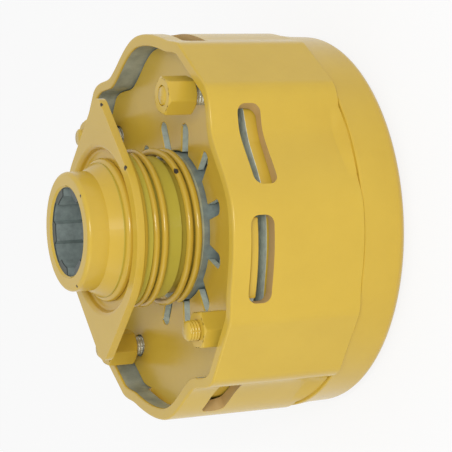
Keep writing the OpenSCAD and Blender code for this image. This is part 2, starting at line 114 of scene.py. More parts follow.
class Body(Enum):
    """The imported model's bodies that new pieces ride on."""

    HOUSING = "housing"
    SPRING = "spring_set"


@dataclass
class Graph:
    """A node tree that is being wired, with short ways to add nodes."""

    tree: bpy.types.NodeTree

    def feed(self, node: Node, inputs: Inputs) -> None:
        """Set a node's inputs, each to a value or to the socket that feeds it."""
        for key, value in inputs.items():
            if isinstance(value, Socket):
                self.tree.links.new(value, node.inputs[key])
            else:
                node.inputs[key].default_value = value

    def node(self, kind: str, inputs: Inputs | None = None, **settings: object) -> Node:
        """Add one node.

        Args:
            kind: The node's type name, after "ShaderNode".
            inputs: Input name or number to a value or to the socket that feeds it.
            settings: Attributes set on the node first.

        Returns:
            The node.
        """
        made = self.tree.nodes.new("ShaderNode" + kind)
        for name, value in settings.items():
            setattr(made, name, value)
        self.feed(made, inputs or {})
        return made

    def math(self, operation: str, *values: Value, clamp: bool = False) -> Socket:
        """Combine one to three values with a Math node and return the result's socket."""
        inputs = dict(enumerate(values))
        return self.node("Math", inputs, operation=operation, use_clamp=clamp).outputs[0]

    def noise(self, point: Socket, scale: Value, detail: float, rough: float = 0.5) -> Socket:
        """Return the value of a noise texture at a point."""
        inputs = {"Vector": point, "Scale": scale, "Detail": detail, "Roughness": rough}
        return self.node("TexNoise", inputs).outputs[0]

    def blend(self, share: Value, first: Value, second: Value) -> Socket:
        """Mix two colours, which are a Mix node's inputs 6 and 7, and return the mix."""
        return self.node("Mix", {0: share, 6: first, 7: second}, data_type="RGBA").outputs[2]

    def point(self) -> Socket:
        """Return the surface point in the piece's own frame, in metres."""
        return self.node("TexCoord").outputs["Object"]

    def from_axis(self, point: Socket) -> tuple[Socket, Socket]:
        """Return a point's distance from the axis and its height."""
        parts = self.node("SeparateXYZ", {0: point})
        flat = self.node("CombineXYZ", {0: parts.outputs[0], 1: parts.outputs[1]})
        radius = self.node("VectorMath", {0: flat.outputs[0]}, operation="LENGTH")
        return radius.outputs["Value"], parts.outputs[2]

    def seen(self) -> Socket:
        """Return 1 for the rays that show a thing, and 0 for those that it lights."""
        path = self.node("LightPath").outputs
        seen = self.math("MAXIMUM", path["Is Camera Ray"], path["Is Glossy Ray"])
        return self.math("MAXIMUM", seen, path["Is Transmission Ray"])


@dataclass
class Effects:
    """Shader groups that several finishes share, each built once."""

    groups: dict[str, bpy.types.NodeTree] = field(default_factory=dict)

    def _new(self, name: str, outs: dict[str, str], **ins: float | str
             ) -> tuple[Graph, bpy.types.bpy_prop_collection, Node]:
        """Start a group, which takes the surface point first.

        Args:
            name: The group's name.
            outs: Name and socket type of each output.
            ins: Each further input, with its default or, where it has none, its socket type.

        Returns:
            The graph inside the group, its inputs' sockets and its output node.
        """
        tree = bpy.data.node_groups.new(name, "ShaderNodeTree")
        add = tree.interface.new_socket
        for label, start in {"Point": "Vector", **ins}.items():
            if isinstance(start, str):
                add(name=label, in_out="INPUT", socket_type="NodeSocket" + start)
            else:
                made = add(name=label, in_out="INPUT", socket_type="NodeSocketFloat")
                made.default_value = start
        for label, kind in outs.items():
            add(name=label, in_out="OUTPUT", socket_type="NodeSocket" + kind)
        self.groups[name] = tree
        taken = tree.nodes.new("NodeGroupInput").outputs
        return Graph(tree), taken, tree.nodes.new("NodeGroupOutput")

    def build(self) -> None:
        """Build every shared group."""
        self._orange_peel()
        self._mottle()
        self._zone()
        self._knock()
        self._walls()

    def _orange_peel(self) -> None:
        """Height of brushed and sprayed enamel: a fine skin over a slow waviness."""
        slow_scale, slow_height = 0.12, 2.0
        graph, taken, given = self._new("orange_peel", {"Height": "Float"}, Scale=900)
        point, scale = taken["Point"], taken["Scale"]
        fine = graph.noise(point, scale, detail=1.0)
        slow = graph.noise(point, graph.math("MULTIPLY", scale, slow_scale), detail=1.0)
        graph.feed(given, {"Height": graph.math("MULTIPLY_ADD", slow, slow_height, fine)})

    def _mottle(self) -> None:
        """Two tones in soft and fine patches."""
        middle = 0.5
        graph, taken, given = self._new("mottle", {"Color": "Color", "Share": "Float"}, Scale=60,
                                        First="Color", Second="Color", Contrast=1)
        cloud = graph.noise(taken["Point"], taken["Scale"], detail=6.0, rough=0.65)
        centred = graph.math("SUBTRACT", cloud, middle)
        share = graph.math("MULTIPLY_ADD", centred, taken["Contrast"], middle, clamp=True)
        colour = graph.blend(share, taken["First"], taken["Second"])
        graph.feed(given, {"Color": colour, "Share": share})

    def _zone(self) -> None:
        """Mask of a ring round the axis between two radii and two heights, with a ragged edge."""
        middle, shake_scale = 0.5, 300
        graph, taken, given = self._new("zone", {"Mask": "Float"}, Inner=0, Outer=1, Low=0, High=1,
                                        Ragged=0.0003)
        point = taken["Point"]
        radius, height = graph.from_axis(point)
        noise = graph.noise(point, shake_scale, detail=4.0, rough=0.7)
        shake = graph.math("SUBTRACT", noise, middle)
        shift = graph.math("MULTIPLY", shake, taken["Ragged"])
        r, z = graph.math("ADD", radius, shift), graph.math("ADD", height, shift)
        mask: Value = 1.0
        for test, place, end in (("GREATER_THAN", r, "Inner"), ("LESS_THAN", r, "Outer"),
                                 ("GREATER_THAN", z, "Low"), ("LESS_THAN", z, "High")):
            mask = graph.math("MULTIPLY", mask, graph.math(test, place, taken[end]))
        graph.feed(given, {"Mask": mask})

    def _knock(self) -> None:
        """Mask of one ragged spot round a place."""
        ragged_scale, ragged_share, core_share = 900, 1.6, 0.2
        graph, taken, given = self._new("knock", {"Mask": "Float"}, Place="Vector", Size=0.001)
        point = taken["Point"]
        gap = graph.node("VectorMath", {0: point, 1: taken["Place"]}, operation="DISTANCE")
        ragged = graph.noise(point, ragged_scale, detail=3.0, rough=0.6)
        share = graph.math("MULTIPLY_ADD", ragged, ragged_share, core_share)
        reach = graph.math("MULTIPLY", taken["Size"], share)
        graph.feed(given, {"Mask": graph.math("LESS_THAN", gap.outputs["Value"], reach)})

    def _walls(self) -> None:
        """Mask of the faces that run along the axis or look back, inside a radius."""
        front_facing = 0.35
        graph, taken, given = self._new("walls", {"Mask": "Float"}, Outer=1)
        normal = graph.node("NewGeometry").outputs["Normal"]
        facing = graph.node("SeparateXYZ", {0: normal}).outputs[2]
        radius, _ = graph.from_axis(taken["Point"])
        mask = graph.math("MULTIPLY", graph.math("LESS_THAN", facing, front_facing),
                          graph.math("LESS_THAN", radius, taken["Outer"]))
        graph.feed(given, {"Mask": mask})

    def place(self, graph: Graph, name: str, **inputs: Value) -> Node:
        """Put a shared group into a finish, at the surface point.

        Args:
            graph: The finish's graph.
            name: The group's name.
            inputs: The other inputs' names to values or sockets.

        Returns:
            The group's node.
        """
        made = graph.tree.nodes.new("ShaderNodeGroup")
        made.node_tree = self.groups[name]
        graph.feed(made, {"Point": graph.point(), **inputs})
        return made


def around(radius: float, degrees: float, z: float) -> Vector:
    """Return a point at a radius and turn round the axis, from millimetres to metres."""
    turn = math.radians(degrees)
    return Vector((radius * math.cos(turn), radius * math.sin(turn), z)) * MM


def smooth(share: float) -> float:
    """Return a smooth step from 0 to 1."""
    return (1 - math.cos(math.pi * share)) / 2


def rgba(colour: Sequence[float], level: float = 1.0) -> tuple[float, float, float, float]:
    """Return a share of a linear colour, with full alpha."""
    return level * colour[0], level * colour[1], level * colour[2], 1.0


def new_material(name: str) -> tuple[Material, Graph, Node]:
    """Start a material, and return it with its graph and its main shader."""
    made = bpy.data.materials.new(name)
    made.use_nodes = True
    return made, Graph(made.node_tree), made.node_tree.nodes["Principled BSDF"]


@dataclass(frozen=True)
class BareMetal:
    """Unpainted metal, or a lining, with a mottled skin. Colours are linear.

    Attributes:
        light, dark: Colours of the bright and of the dull patches.
        metallic: How metallic it looks.
        rough, polish: Roughness of the dull patches, and how much less the bright ones have.
        grain, contrast: Scale of the patches, per metre, and how they differ.
        bump, bump_strength: Depth of the skin, in millimetres, and how strongly it shows.
        bump_scale: How many times finer than the patches the skin is.
    """

    name: str
    light: Triple
    dark: Triple
    metallic: float = 0.6
    rough: float = 0.5
    polish: float = 0.2
    grain: float = 120.0
    contrast: float = 3.0
    bump: float = 0.03
    bump_strength: float = 0.6
    bump_scale: float = 8.0

    def material(self, effects: Effects) -> Material:
        """Build the material from the shared effects."""
        made, graph, shader = new_material(self.name)
        tone = effects.place(graph, "mottle", Scale=self.grain, First=rgba(self.dark),
                             Second=rgba(self.light), Contrast=self.contrast)
        rough = graph.math("MULTIPLY_ADD", tone.outputs["Share"], -self.polish, self.rough)
        skin = graph.noise(graph.point(), self.grain * self.bump_scale, detail=3.0)
        bump = graph.node("Bump", {"Height": skin, "Distance": self.bump * MM,
                                   "Strength": self.bump_strength})
        graph.feed(shader, {"Base Color": tone.outputs["Color"], "Metallic": self.metallic,
                            "Roughness": rough, "Normal": bump.outputs["Normal"]})
        return made


@dataclass(frozen=True)
class Stretch:
    """A ring round the axis in which a painted piece looks different, in millimetres."""

    inner: float
    outer: float
    low: float
    high: float

    def mask(self, effects: Effects, graph: Graph) -> Socket:
        """Return 1 inside the stretch and 0 outside it."""
        zone = effects.place(graph, "zone", Inner=self.inner * MM, Outer=self.outer * MM,
                             Low=self.low * MM, High=self.high * MM)
        return zone.outputs["Mask"]


@dataclass(frozen=True)
class Spot:
    """One knocked place where the enamel is gone. Sizes in millimetres, turn in degrees."""

    radius: float
    turn: float
    z: float
    size: float

    def mask(self, effects: Effects, graph: Graph) -> Socket:
        """Return 1 inside the spot and 0 outside it."""
        place = tuple(around(self.radius, self.turn, self.z))
        knock = effects.place(graph, "knock", Place=place, Size=self.size * MM)
        return knock.outputs["Mask"]


@dataclass(frozen=True)
class Enamel:
    """Glossy enamel over steel, with knocked spots and bare stretches. Colours are linear.

    Attributes:
        paint, shade: Colours of the enamel, and of its thinner or dirtier patches.
        steel: Colour of the metal under it.
        rough, gloss: Roughness of the enamel, and its reflections' strength, 0.5 for plain glass.
        metal_rough, metallic: Roughness of the bare metal, and how metallic it looks.
        bare, bare_painted_shade: Stretches that stay unpainted, and unpainted ones darkened as
            painted shade.
        painted_shade_zones, painted_shade_paint: Stretches tinted darker and olive, as painted shade
            and painted reflection, and that tint's colour.
        bare_walls: Radius, in millimetres, inside which walls along the axis stay unpainted, or 0.
        spots, knocked: Knocked places, and their colour.
        grain, contrast: Scale of the enamel's patches, per metre, and how they differ.
        steel_grain, steel_contrast: The same for the metal's patches.
        dull, bare_painted_shade_level: Share of the metal's colour in its dull patches, and in its
            painted shade.
        peel: Scale of the enamel's skin, per metre.
        coat: How far the enamel stands above bare metal, in heights of its skin.
        bump, bump_strength: Depth of the skin, in millimetres, and how strongly it shows.
    """

    name: str
    paint: Triple = (0.64, 0.435, 0.050)
    shade: Triple = (0.57, 0.38, 0.042)
    steel: Triple = (0.10, 0.115, 0.095)
    rough: float = 0.24
    gloss: float = 0.4
    metal_rough: float = 0.5
    metallic: float = 0.3
    bare: tuple[Stretch, ...] = ()
    bare_painted_shade: tuple[Stretch, ...] = ()
    painted_shade_zones: tuple[Stretch, ...] = ()
    painted_shade_paint: Triple = (0.50, 0.385, 0.048)
    bare_walls: float = 0.0
    spots: tuple[Spot, ...] = ()
    knocked: Triple = (0.045, 0.036, 0.028)
    grain: float = 22.0
    contrast: float = 1.6
    steel_grain: float = 240.0
    steel_contrast: float = 3.0
    dull: float = 0.7
    bare_painted_shade_level: float = 0.25
    peel: float = 800.0
    coat: float = 6.0
    bump: float = 0.012
    bump_strength: float = 0.5

    def material(self, effects: Effects) -> Material:
        """Build the material from the shared effects."""
        made, graph, shader = new_material(self.name)
        coat = effects.place(graph, "mottle", Scale=self.grain, First=rgba(self.shade),
                             Second=rgba(self.paint), Contrast=self.contrast)
        colour = coat.outputs["Color"]
        # Tint these stretches darker and olive: painted shade and painted reflection.
        for stretch in self.painted_shade_zones:
            colour = graph.blend(stretch.mask(effects, graph), colour, rgba(self.painted_shade_paint))
        metal = effects.place(graph, "mottle", Scale=self.steel_grain, Second=rgba(self.steel),
                              First=rgba(self.steel, self.dull), Contrast=self.steel_contrast)
        bared = metal.outputs["Color"]
        # Darken the bare metal in these stretches: painted shade.
        for stretch in self.bare_painted_shade:
            bared = graph.blend(stretch.mask(effects, graph), bared, rgba(self.steel, self.bare_painted_shade_level))
        gone: Value = 0.0
        for stretch in self.bare:
            gone = graph.math("MAXIMUM", gone, stretch.mask(effects, graph))
        if self.bare_walls:
            wall = effects.place(graph, "walls", Outer=self.bare_walls * MM)
            gone = graph.math("MAXIMUM", gone, wall.outputs["Mask"])
        for spot in self.spots:
            mask = spot.mask(effects, graph)
            bared = graph.blend(mask, bared, rgba(self.knocked))
            gone = graph.math("MAXIMUM", gone, mask)
        skin = effects.place(graph, "orange_peel", Scale=self.peel)
        height = graph.math("MULTIPLY_ADD", gone, -self.coat, skin.outputs["Height"])
        bump = graph.node("Bump", {"Height": height, "Distance": self.bump * MM,
                                   "Strength": self.bump_strength})
        rough = graph.math("MULTIPLY_ADD", gone, self.metal_rough - self.rough, self.rough)
        graph.feed(shader, {"Base Color": graph.blend(gone, colour, bared),
                            "Metallic": graph.math("MULTIPLY", gone, self.metallic),
                            "Roughness": rough, "Specular IOR Level": self.gloss,
                            "Normal": bump.outputs["Normal"]})
        return made


@dataclass(frozen=True)
class Edge:
    """How edges sharper than an angle, in degrees, are rounded off to a width in millimetres."""

    width: float
    angle: float = 32.0
    segments: int = 2

    def round_off(self, piece: Piece, **settings: object) -> None:
        """Round a piece's sharp edges, with further settings, and shade its faces evenly."""
        bevel = piece.modifiers.new("eased_edges", "BEVEL")
        bevel.limit_method = "ANGLE"
        bevel.angle_limit = math.radians(self.angle)
        bevel.width = self.width * MM
        bevel.segments = self.segments
        for name, value in settings.items():
            setattr(bevel, name, value)
        piece.modifiers.new("even_shading", "WEIGHTED_NORMAL").keep_sharp = True


def ease_edges(piece: Piece, edge: Edge) -> None:
    """Round a triangulated piece's sharp edges with modifiers, which leave its vertices alone."""
    piece.modifiers.new("joined_points", "WELD").merge_threshold = SAME_POINT
    flat = piece.modifiers.new("flat_faces", "DECIMATE")
    flat.decimate_type = "DISSOLVE"
    flat.angle_limit = SAME_FACE
    edge.round_off(piece, use_clamp_overlap=False)


def paint(piece: Piece, material: Material, slot: Slot) -> None:
    """Give a piece one material."""
    piece.data.materials.clear()
    piece.data.materials.append(material)


def new_piece(name: str, points: Sequence[Vector], faces: Sequence[Sequence[int]]) -> Piece:
    """Make a smooth mesh object from points and faces.

    Args:
        name: The object's name.
        points: Its corners, in metres, in the row frame.
        faces: The corners' numbers round each face.

    Returns:
        The object, linked to the scene.
    """
    mesh = bpy.data.meshes.new(name)
    mesh.from_pydata([tuple(p) for p in points], [], [tuple(f) for f in faces])
    work = bmesh.new()
    work.from_mesh(mesh)
    bmesh.ops.remove_doubles(work, verts=work.verts, dist=TINY)
    bmesh.ops.dissolve_degenerate(work, edges=work.edges, dist=TINY)
    bmesh.ops.recalc_face_normals(work, faces=work.faces)
    work.to_mesh(mesh)
    work.free()
    mesh.polygons.foreach_set("use_smooth", [True] * len(mesh.polygons))
    piece = bpy.data.objects.new(name, mesh)
    bpy.context.scene.collection.objects.link(piece)
    log.info("%s: %d faces", name, len(mesh.polygons))
    return piece


def swept_rings(rings: Sequence[Sequence[Vector]], closed: bool) -> Shell:
    """Join rings of equal length into walls.

    Args:
        rings: The rings, in order.
        closed: True to join the last ring to the first, and False to cap both ends.

    Returns:
        The points and the faces.
    """
    count = len(rings[0])
    points = [p for ring in rings for p in ring]
    faces: list[tuple[int, ...]] = []
    for k in range(len(rings) if closed else len(rings) - 1):
        low, high = k * count, (k + 1) % len(rings) * count
        for i in range(count):
            j = (i + 1) % count
            faces.append((low + i, low + j, high + j, high + i))
    if not closed:
        faces.append(tuple(range(count - 1, -1, -1)))
        faces.append(tuple((len(rings) - 1) * count + i for i in range(count)))
    return points, faces


def merged(shells: Iterable[Shell]) -> Shell:
    """Put the points and faces of several shells into one list each."""
    points: list[Vector] = []
    faces: list[tuple[int, ...]] = []
    for some_points, some_faces in shells:
        faces += [tuple(len(points) + i for i in face) for face in some_faces]
        points += some_points
    return points, faces


def prisms(outline: Pairs, low: float, high: float, turns: Iterable[float]) -> Piece:
    """Make one object of equal prisms along the axis.

    Args:
        outline: Corners of the prism's section, with x away from the axis, in millimetres.
        low: Its lower end.
        high: Its upper end.
        turns: Angle of each prism round the axis, in degrees.

    Returns:
        The object, to cut with.
    """
    shells = []
    for turn in turns:
        spin = Matrix.Rotation(math.radians(turn), 4, "Z")
        rings = [[spin @ (Vector((x, y, z)) * MM) for x, y in outline] for z in (low, high)]
        shells.append(swept_rings(rings, closed=False))
    return new_piece("cutter", *merged(shells))


def arc(x: float, y: float, radius: float, first: float, last: float, steps: int) -> Pairs:
    """Return points on an arc between two angles in degrees, both ends included."""
    turns = [math.radians(first + (last - first) * k / steps) for k in range(steps + 1)]
    return [(x + radius * math.cos(t), y + radius * math.sin(t)) for t in turns]


def circle(x: float, radius: float, sides: int = 48) -> Pairs:
    """Return the corners of a fine polygon round a point on the x axis."""
    return arc(x, 0, radius, 0, 360 - 360 / sides, sides - 1)


def cut_away(piece: Piece, cutters: Sequence[Piece]) -> None:
    """Cut other objects out of a piece for good, and remove them."""
    for cutter in cutters:
        cut = piece.modifiers.new("cut", "BOOLEAN")
        cut.object = cutter
        cut.solver = "EXACT"
    shaped = piece.evaluated_get(bpy.context.evaluated_depsgraph_get())
    ready = bpy.data.meshes.new_from_object(shaped)
    piece.modifiers.clear()
    piece.data = ready
    for cutter in cutters:
        bpy.data.objects.remove(cutter)


@dataclass
class Drum:
    """The lobed drum with its windows. Sizes in millimetres, angles from the middle of a flat.

    Its outside runs straight back from the rim to a foot, which flares on to the flange. Its inside
    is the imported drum's as far as packed_to, behind the pressure plate, and then widens with the
    rim's outline up to straight_from.
    """

    top: float = 98.0
    wall: float = 6.0
    flat_dist: float = 98.7
    flat_half: float = 10.0
    hollow_r: float = 90.8
    hollow_turn: float = -25.0
    shoulder_r: float = 97.4
    shoulder_turn: float = 20.0
    lobe_r: float = 98.2
    lobe_turn: float = 40.0
    back_r: float = 96.0
    packed_back_r: float = 94.4
    packed_to: float = 68.0
    straight_from: float = 78.0
    foot: float = 6.0
    foot_curve: float = 1.5
    foot_ease: float = 0.5
    foot_steps: int = 6
    window_len: float = 42.0
    window_h: float = 12.2
    window_corner: float = 4.5
    corner_steps: int = 8
    high_window: tuple[float, float] = (27.9, 76.7)
    low_window: tuple[float, float] = (-28.4, 71.2)
    window_margin: float = 1.0
    window_edge: Edge = Edge(0.7, 50.0, 3)
    rim_round: float = 1.0
    rim_steps: int = 4
    painted_lip: float = 2.5
    skin: float = 0.4
    turns: int = 360

    def _rim(self, turn: float) -> float:
        """Radius of the rim's outside at an angle."""
        a = turn - 90 * math.floor((turn - self.hollow_turn) / 90)
        corner = self.flat_dist / math.cos(math.radians(self.flat_half))
        if -self.flat_half <= a <= self.flat_half:
            return self.flat_dist / math.cos(math.radians(a))
        stretches = ((self.hollow_turn, -self.flat_half, self.hollow_r, corner),
                     (self.flat_half, self.shoulder_turn, corner, self.shoulder_r),
                     (self.shoulder_turn, self.lobe_turn, self.shoulder_r, self.lobe_r),
                     (self.lobe_turn, self.hollow_turn + 90, self.lobe_r, self.hollow_r))
        first, last, start, end = next(s for s in stretches if s[0] <= a <= s[1])
        return start + (end - start) * smooth((a - first) / (last - first))

    def radius(self, turn: float, z: float) -> float:
        """Radius of the drum's outside at an angle and a height."""
        rim = self._rim(turn)
        back = max(rim, self.back_r)
        share = min(1.0, max(0.0, (z - JOINT_Z) / self.foot))
        return back + (rim - back) * (1 - (1 - share) ** self.foot_curve)

    def inside(self, turn: float, z: float) -> float:
        """Radius of the wall's inside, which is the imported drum's up to the pressure plate."""
        rim = self._rim(turn)
        share = (min(z, self.packed_to) - JOINT_Z) / (self.top - JOINT_Z)
        packed = self.packed_back_r + (rim - self.packed_back_r) * share
        widening = (z - self.packed_to) / (self.straight_from - self.packed_to)
        return packed + (rim - packed) * min(1.0, max(0.0, widening)) - self.wall

    def _section(self) -> tuple[Pairs, Pairs]:
        """Height and easing of the wall's outside, going up, and of its inside, going down."""
        b = self.rim_round
        bends = [math.radians(90 * k / self.rim_steps) for k in range(self.rim_steps + 1)]
        outer = [(self.top - b + b * math.sin(t), b * (1 - math.cos(t))) for t in bends]
        rows = (self.straight_from, self.packed_to, JOINT_Z)
        inner = [*reversed(outer), *((z, 0.0) for z in rows)]
        feet = [(JOINT_Z, self.foot_ease), (JOINT_Z + self.foot_ease, 0.0)]
        for k in range(1, self.foot_steps + 1):
            feet.append((JOINT_Z + self.foot * k / self.foot_steps, 0.0))
        return [*feet, *outer], inner

    def _window_bar(self, turn: float, low: float) -> Piece:
        """Return the round-cornered bar that cuts one window."""
        r, half_h = self.window_corner, self.window_h / 2
        across, up = self.window_len / 2 - r, half_h - r
        outline: Pairs = []
        for first, x, y in zip(QUARTERS, (across, -across, -across, across), (up, up, -up, -up)):
            outline += arc(x, y, r, first, first + 90, self.corner_steps)
        spin = Matrix.Rotation(math.radians(FIRST_STUD + turn), 4, "Z")
        ends = (self.back_r - 3 * self.wall, self.back_r + 2 * self.wall)
        rings = [[spin @ (Vector((x, along, low + half_h + rise)) * MM) for along, rise in outline]
                 for x in ends]
        return new_piece("window_bar", *swept_rings(rings, closed=False))

    def _finish_of(self, face: bpy.types.MeshPolygon) -> int:
        """Return which finish a face takes, from where its middle lies in the wall."""
        middle = face.center
        out = Vector((middle.x, middle.y, 0))
        radius, z = out.length / MM, middle.z / MM
        turn = math.degrees(math.atan2(middle.y, middle.x)) - FIRST_STUD
        inset, height = self.radius(turn, z) - radius, radius - self.inside(turn, z)
        if height < self.skin and face.normal.dot(out) < 0:
            return INSIDE if z < self.top - self.painted_lip else COAT
        low = self.low_window[1] - self.window_margin
        high = self.high_window[1] + self.window_h + self.window_margin
        cut = low < z < high and inset > self.skin and height > self.skin
        return CUT if cut else COAT

    def build(self, coat: Material, inside: Material, cut_wall_painted_reflection: Material) -> None:
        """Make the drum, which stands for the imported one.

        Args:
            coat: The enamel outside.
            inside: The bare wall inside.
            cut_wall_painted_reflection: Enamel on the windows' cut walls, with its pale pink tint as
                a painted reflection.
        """
        outer, inner = self._section()
        rings = []
        for turn in (360 * k / self.turns for k in range(self.turns)):
            place = turn + FIRST_STUD
            ring = [around(self.radius(turn, z) - eased, place, z) for z, eased in outer]
            ring += [around(self.inside(turn, z) + eased, place, z) for z, eased in inner]
            rings.append(ring)
        drum = new_piece("drum", *swept_rings(rings, closed=True))
        cut_away(drum, [self._window_bar(turn + quarter, low)
                        for turn, low in (self.high_window, self.low_window)
                        for quarter in QUARTERS])
        drum.data.materials.clear()
        for material in (coat, inside, cut_wall_painted_reflection):
            drum.data.materials.append(material)
        for face in drum.data.polygons:
            face.use_smooth = True
            face.material_index = self._finish_of(face)
        drum.data.set_sharp_from_angle(angle=CREASE)
        self.window_edge.round_off(drum, material=COAT)
        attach(drum, Body.HOUSING.value)
        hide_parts("drum_housing")


@dataclass
class Flange:
    """The rear flange as a fine revolve, with its holes. Sizes in millimetres."""

    corner_r: float = 96.0
    round_w: float = 16.0
    round_h: float = 8.0
    round_step: int = 6
    waist: tuple[float, float] = (96.2, 18.0)
    edge_r: float = 97.2
    ease: float = 0.5
    spigot_r: float = 88.2
    front: float = 33.0
    bore_r: float = 36.5
    register: tuple[float, float] = (60.0, 3.5)
    pocket: tuple[float, float] = (50.0, 12.0)
    hole_r: float = 5.1
    hole_at: float = 70.0
    hole_low: float = -1.0
    hole_top: float = 20.0
    holes: int = 8
    turns: int = 240

    def _profile(self) -> Pairs:
        """Radius and height round the casting's section."""
        bends = [math.radians(t) for t in range(90, -1, -self.round_step)]
        corner = [(self.corner_r - self.round_w * (1 - math.cos(t)),
                   self.round_h * (1 - math.sin(t))) for t in bends]
        back = [(self.bore_r, self.pocket[1]), self.pocket, (self.pocket[0], self.register[1]),
                self.register, (self.register[0], 0.0)]
        front = [(self.edge_r, JOINT_Z - self.ease), (self.edge_r - self.ease, JOINT_Z),
                 (self.spigot_r, JOINT_Z), (self.spigot_r, self.front), (self.bore_r, self.front)]
        return [*back, *corner, self.waist, *front]

    def build(self, coat: Material) -> None:
        """Make the flange in its enamel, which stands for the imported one."""
        profile, turns = self._profile(), [360 * k / self.turns for k in range(self.turns)]
        rings = [[around(r, turn, z) for r, z in profile] for turn in turns]
        flange = new_piece("flange_casting", *swept_rings(rings, closed=True))
        places = [FIRST_STUD + 360 * k / self.holes for k in range(self.holes)]
        hole = circle(self.hole_at, self.hole_r)
        cut_away(flange, [prisms(hole, self.hole_low, self.hole_top, places)])
        flange.data.set_sharp_from_angle(angle=CREASE)
        paint(flange, coat, Slot.ENAMEL)
        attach(flange, Body.HOUSING.value)
        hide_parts("rear_flange")


@dataclass
class DiscSpring:
    """The coned disc with its slots, stud holes and lugs. Sizes in millimetres.

    Its rim follows the drum's inside with a gap, and its lugs reach out into the high windows.
    """

    inner_r: float = 38.7
    low: float = 78.2
    thick: float = 4.0
    slope: float = 0.0871
    gap: float = 0.5
    lug_r: float = 93.8
    lug_low: float = 82.9
    lug_turn: float = 27.9
    lug_half: float = 11.9
    lug_corner: float = 0.03
    root_r: float = 87.0
    rim_band: float = 0.1
    slots: int = 12
    slot_w: float = 7.5
    slot_from: float = 30.0
    slot_reach: float = 54.5
    slot_turn: float = 9.0
    slot_steps: int = 16
    hole_r: float = 5.8
    cut_low: float = 70.0
    cut_top: float = 95.0
    edge: Edge = Edge(0.5)
    step: float = 1.0

    def _turns(self) -> list[float]:
        """Angles of the outline from a flat's middle, doubled up at the ends of each lug."""
        ends = [quarter + self.lug_turn + side * (self.lug_half + shift) for quarter in QUARTERS
                for side in (-1, 1) for shift in (-self.lug_corner, self.lug_corner)]
        steps = [k * self.step for k in range(round(360 / self.step))]
        return sorted({*steps, *(end % 360 for end in ends)})

    def _section(self, drum: Drum, turn: float) -> Pairs:
        """Radius and height round the disc's section at one angle."""
        folded = (turn - self.lug_turn + 45) % 90 - 45
        lug = abs(folded) <= self.lug_half
        top = self.low + self.thick
        out = self.lug_r if lug else drum.inside(turn, top) - self.gap
        rise = self.slope * (out - self.inner_r)
        root = self.low + self.slope * (min(self.root_r, out) - self.inner_r)
        return [(self.inner_r, self.low), (min(self.root_r, out - self.rim_band), root),
                (out, self.lug_low if lug else self.low + rise), (out, top + rise),
                (self.inner_r, top)]

    def build(self, drum: Drum, coat: Material) -> None:
        """Make the disc spring to fit a drum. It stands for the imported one."""
        rings = [[around(r, turn + FIRST_STUD, z) for r, z in self._section(drum, turn)]
                 for turn in self._turns()]
        disc = new_piece("coned_disc", *swept_rings(rings, closed=True))
        half = self.slot_w / 2
        tip = arc(self.slot_reach - half, 0, half, -90, 90, self.slot_steps)
        slot = [(self.slot_from, half), (self.slot_from, -half), *tip]
        slot_turns = [self.slot_turn + 360 * k / self.slots for k in range(self.slots)]
        hole_turns = [FIRST_STUD + quarter for quarter in QUARTERS]
        hole = circle(STUD_CIRCLE, self.hole_r)
        cut_away(disc, [prisms(slot, self.cut_low, self.cut_top, slot_turns),
                        prisms(hole, self.cut_low, self.cut_top, hole_turns)])
        disc.data.set_sharp_from_angle(angle=CREASE)
        paint(disc, coat, Slot.ENAMEL)
        ease_edges(disc, self.edge)
        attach(disc, Body.HOUSING.value)
        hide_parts("disc_spring")


@dataclass
class ReliefNuts:
    """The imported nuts, each turned about its stud, in degrees, as the photograph shows it."""

    turns: tuple[float, ...] = (-13.0, 0.0, -4.0, -20.5)
    edge: Edge = Edge(0.35)

    def build(self, packed: Piece, coat: Material) -> None:
        """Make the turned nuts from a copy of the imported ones, which they stand for."""
        mesh = packed.data.copy()
        axes = [around(STUD_CIRCLE, FIRST_STUD + quarter, 0) for quarter in QUARTERS]
        spins = [Matrix.Rotation(math.radians(turn), 3, "Z") for turn in self.turns]
        for vertex in mesh.vertices:
            flat = Vector((vertex.co.x, vertex.co.y, 0))
            axis, spin = min(zip(axes, spins), key=lambda nut: (nut[0] - flat).length)
            vertex.co = spin @ (vertex.co - axis) + axis
        nuts = bpy.data.objects.new("turned_nuts", mesh)
        bpy.context.scene.collection.objects.link(nuts)
        paint(nuts, coat, Slot.ENAMEL)
        ease_edges(nuts, self.edge)
        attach(nuts, Body.HOUSING.value)
        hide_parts("relief_nuts")


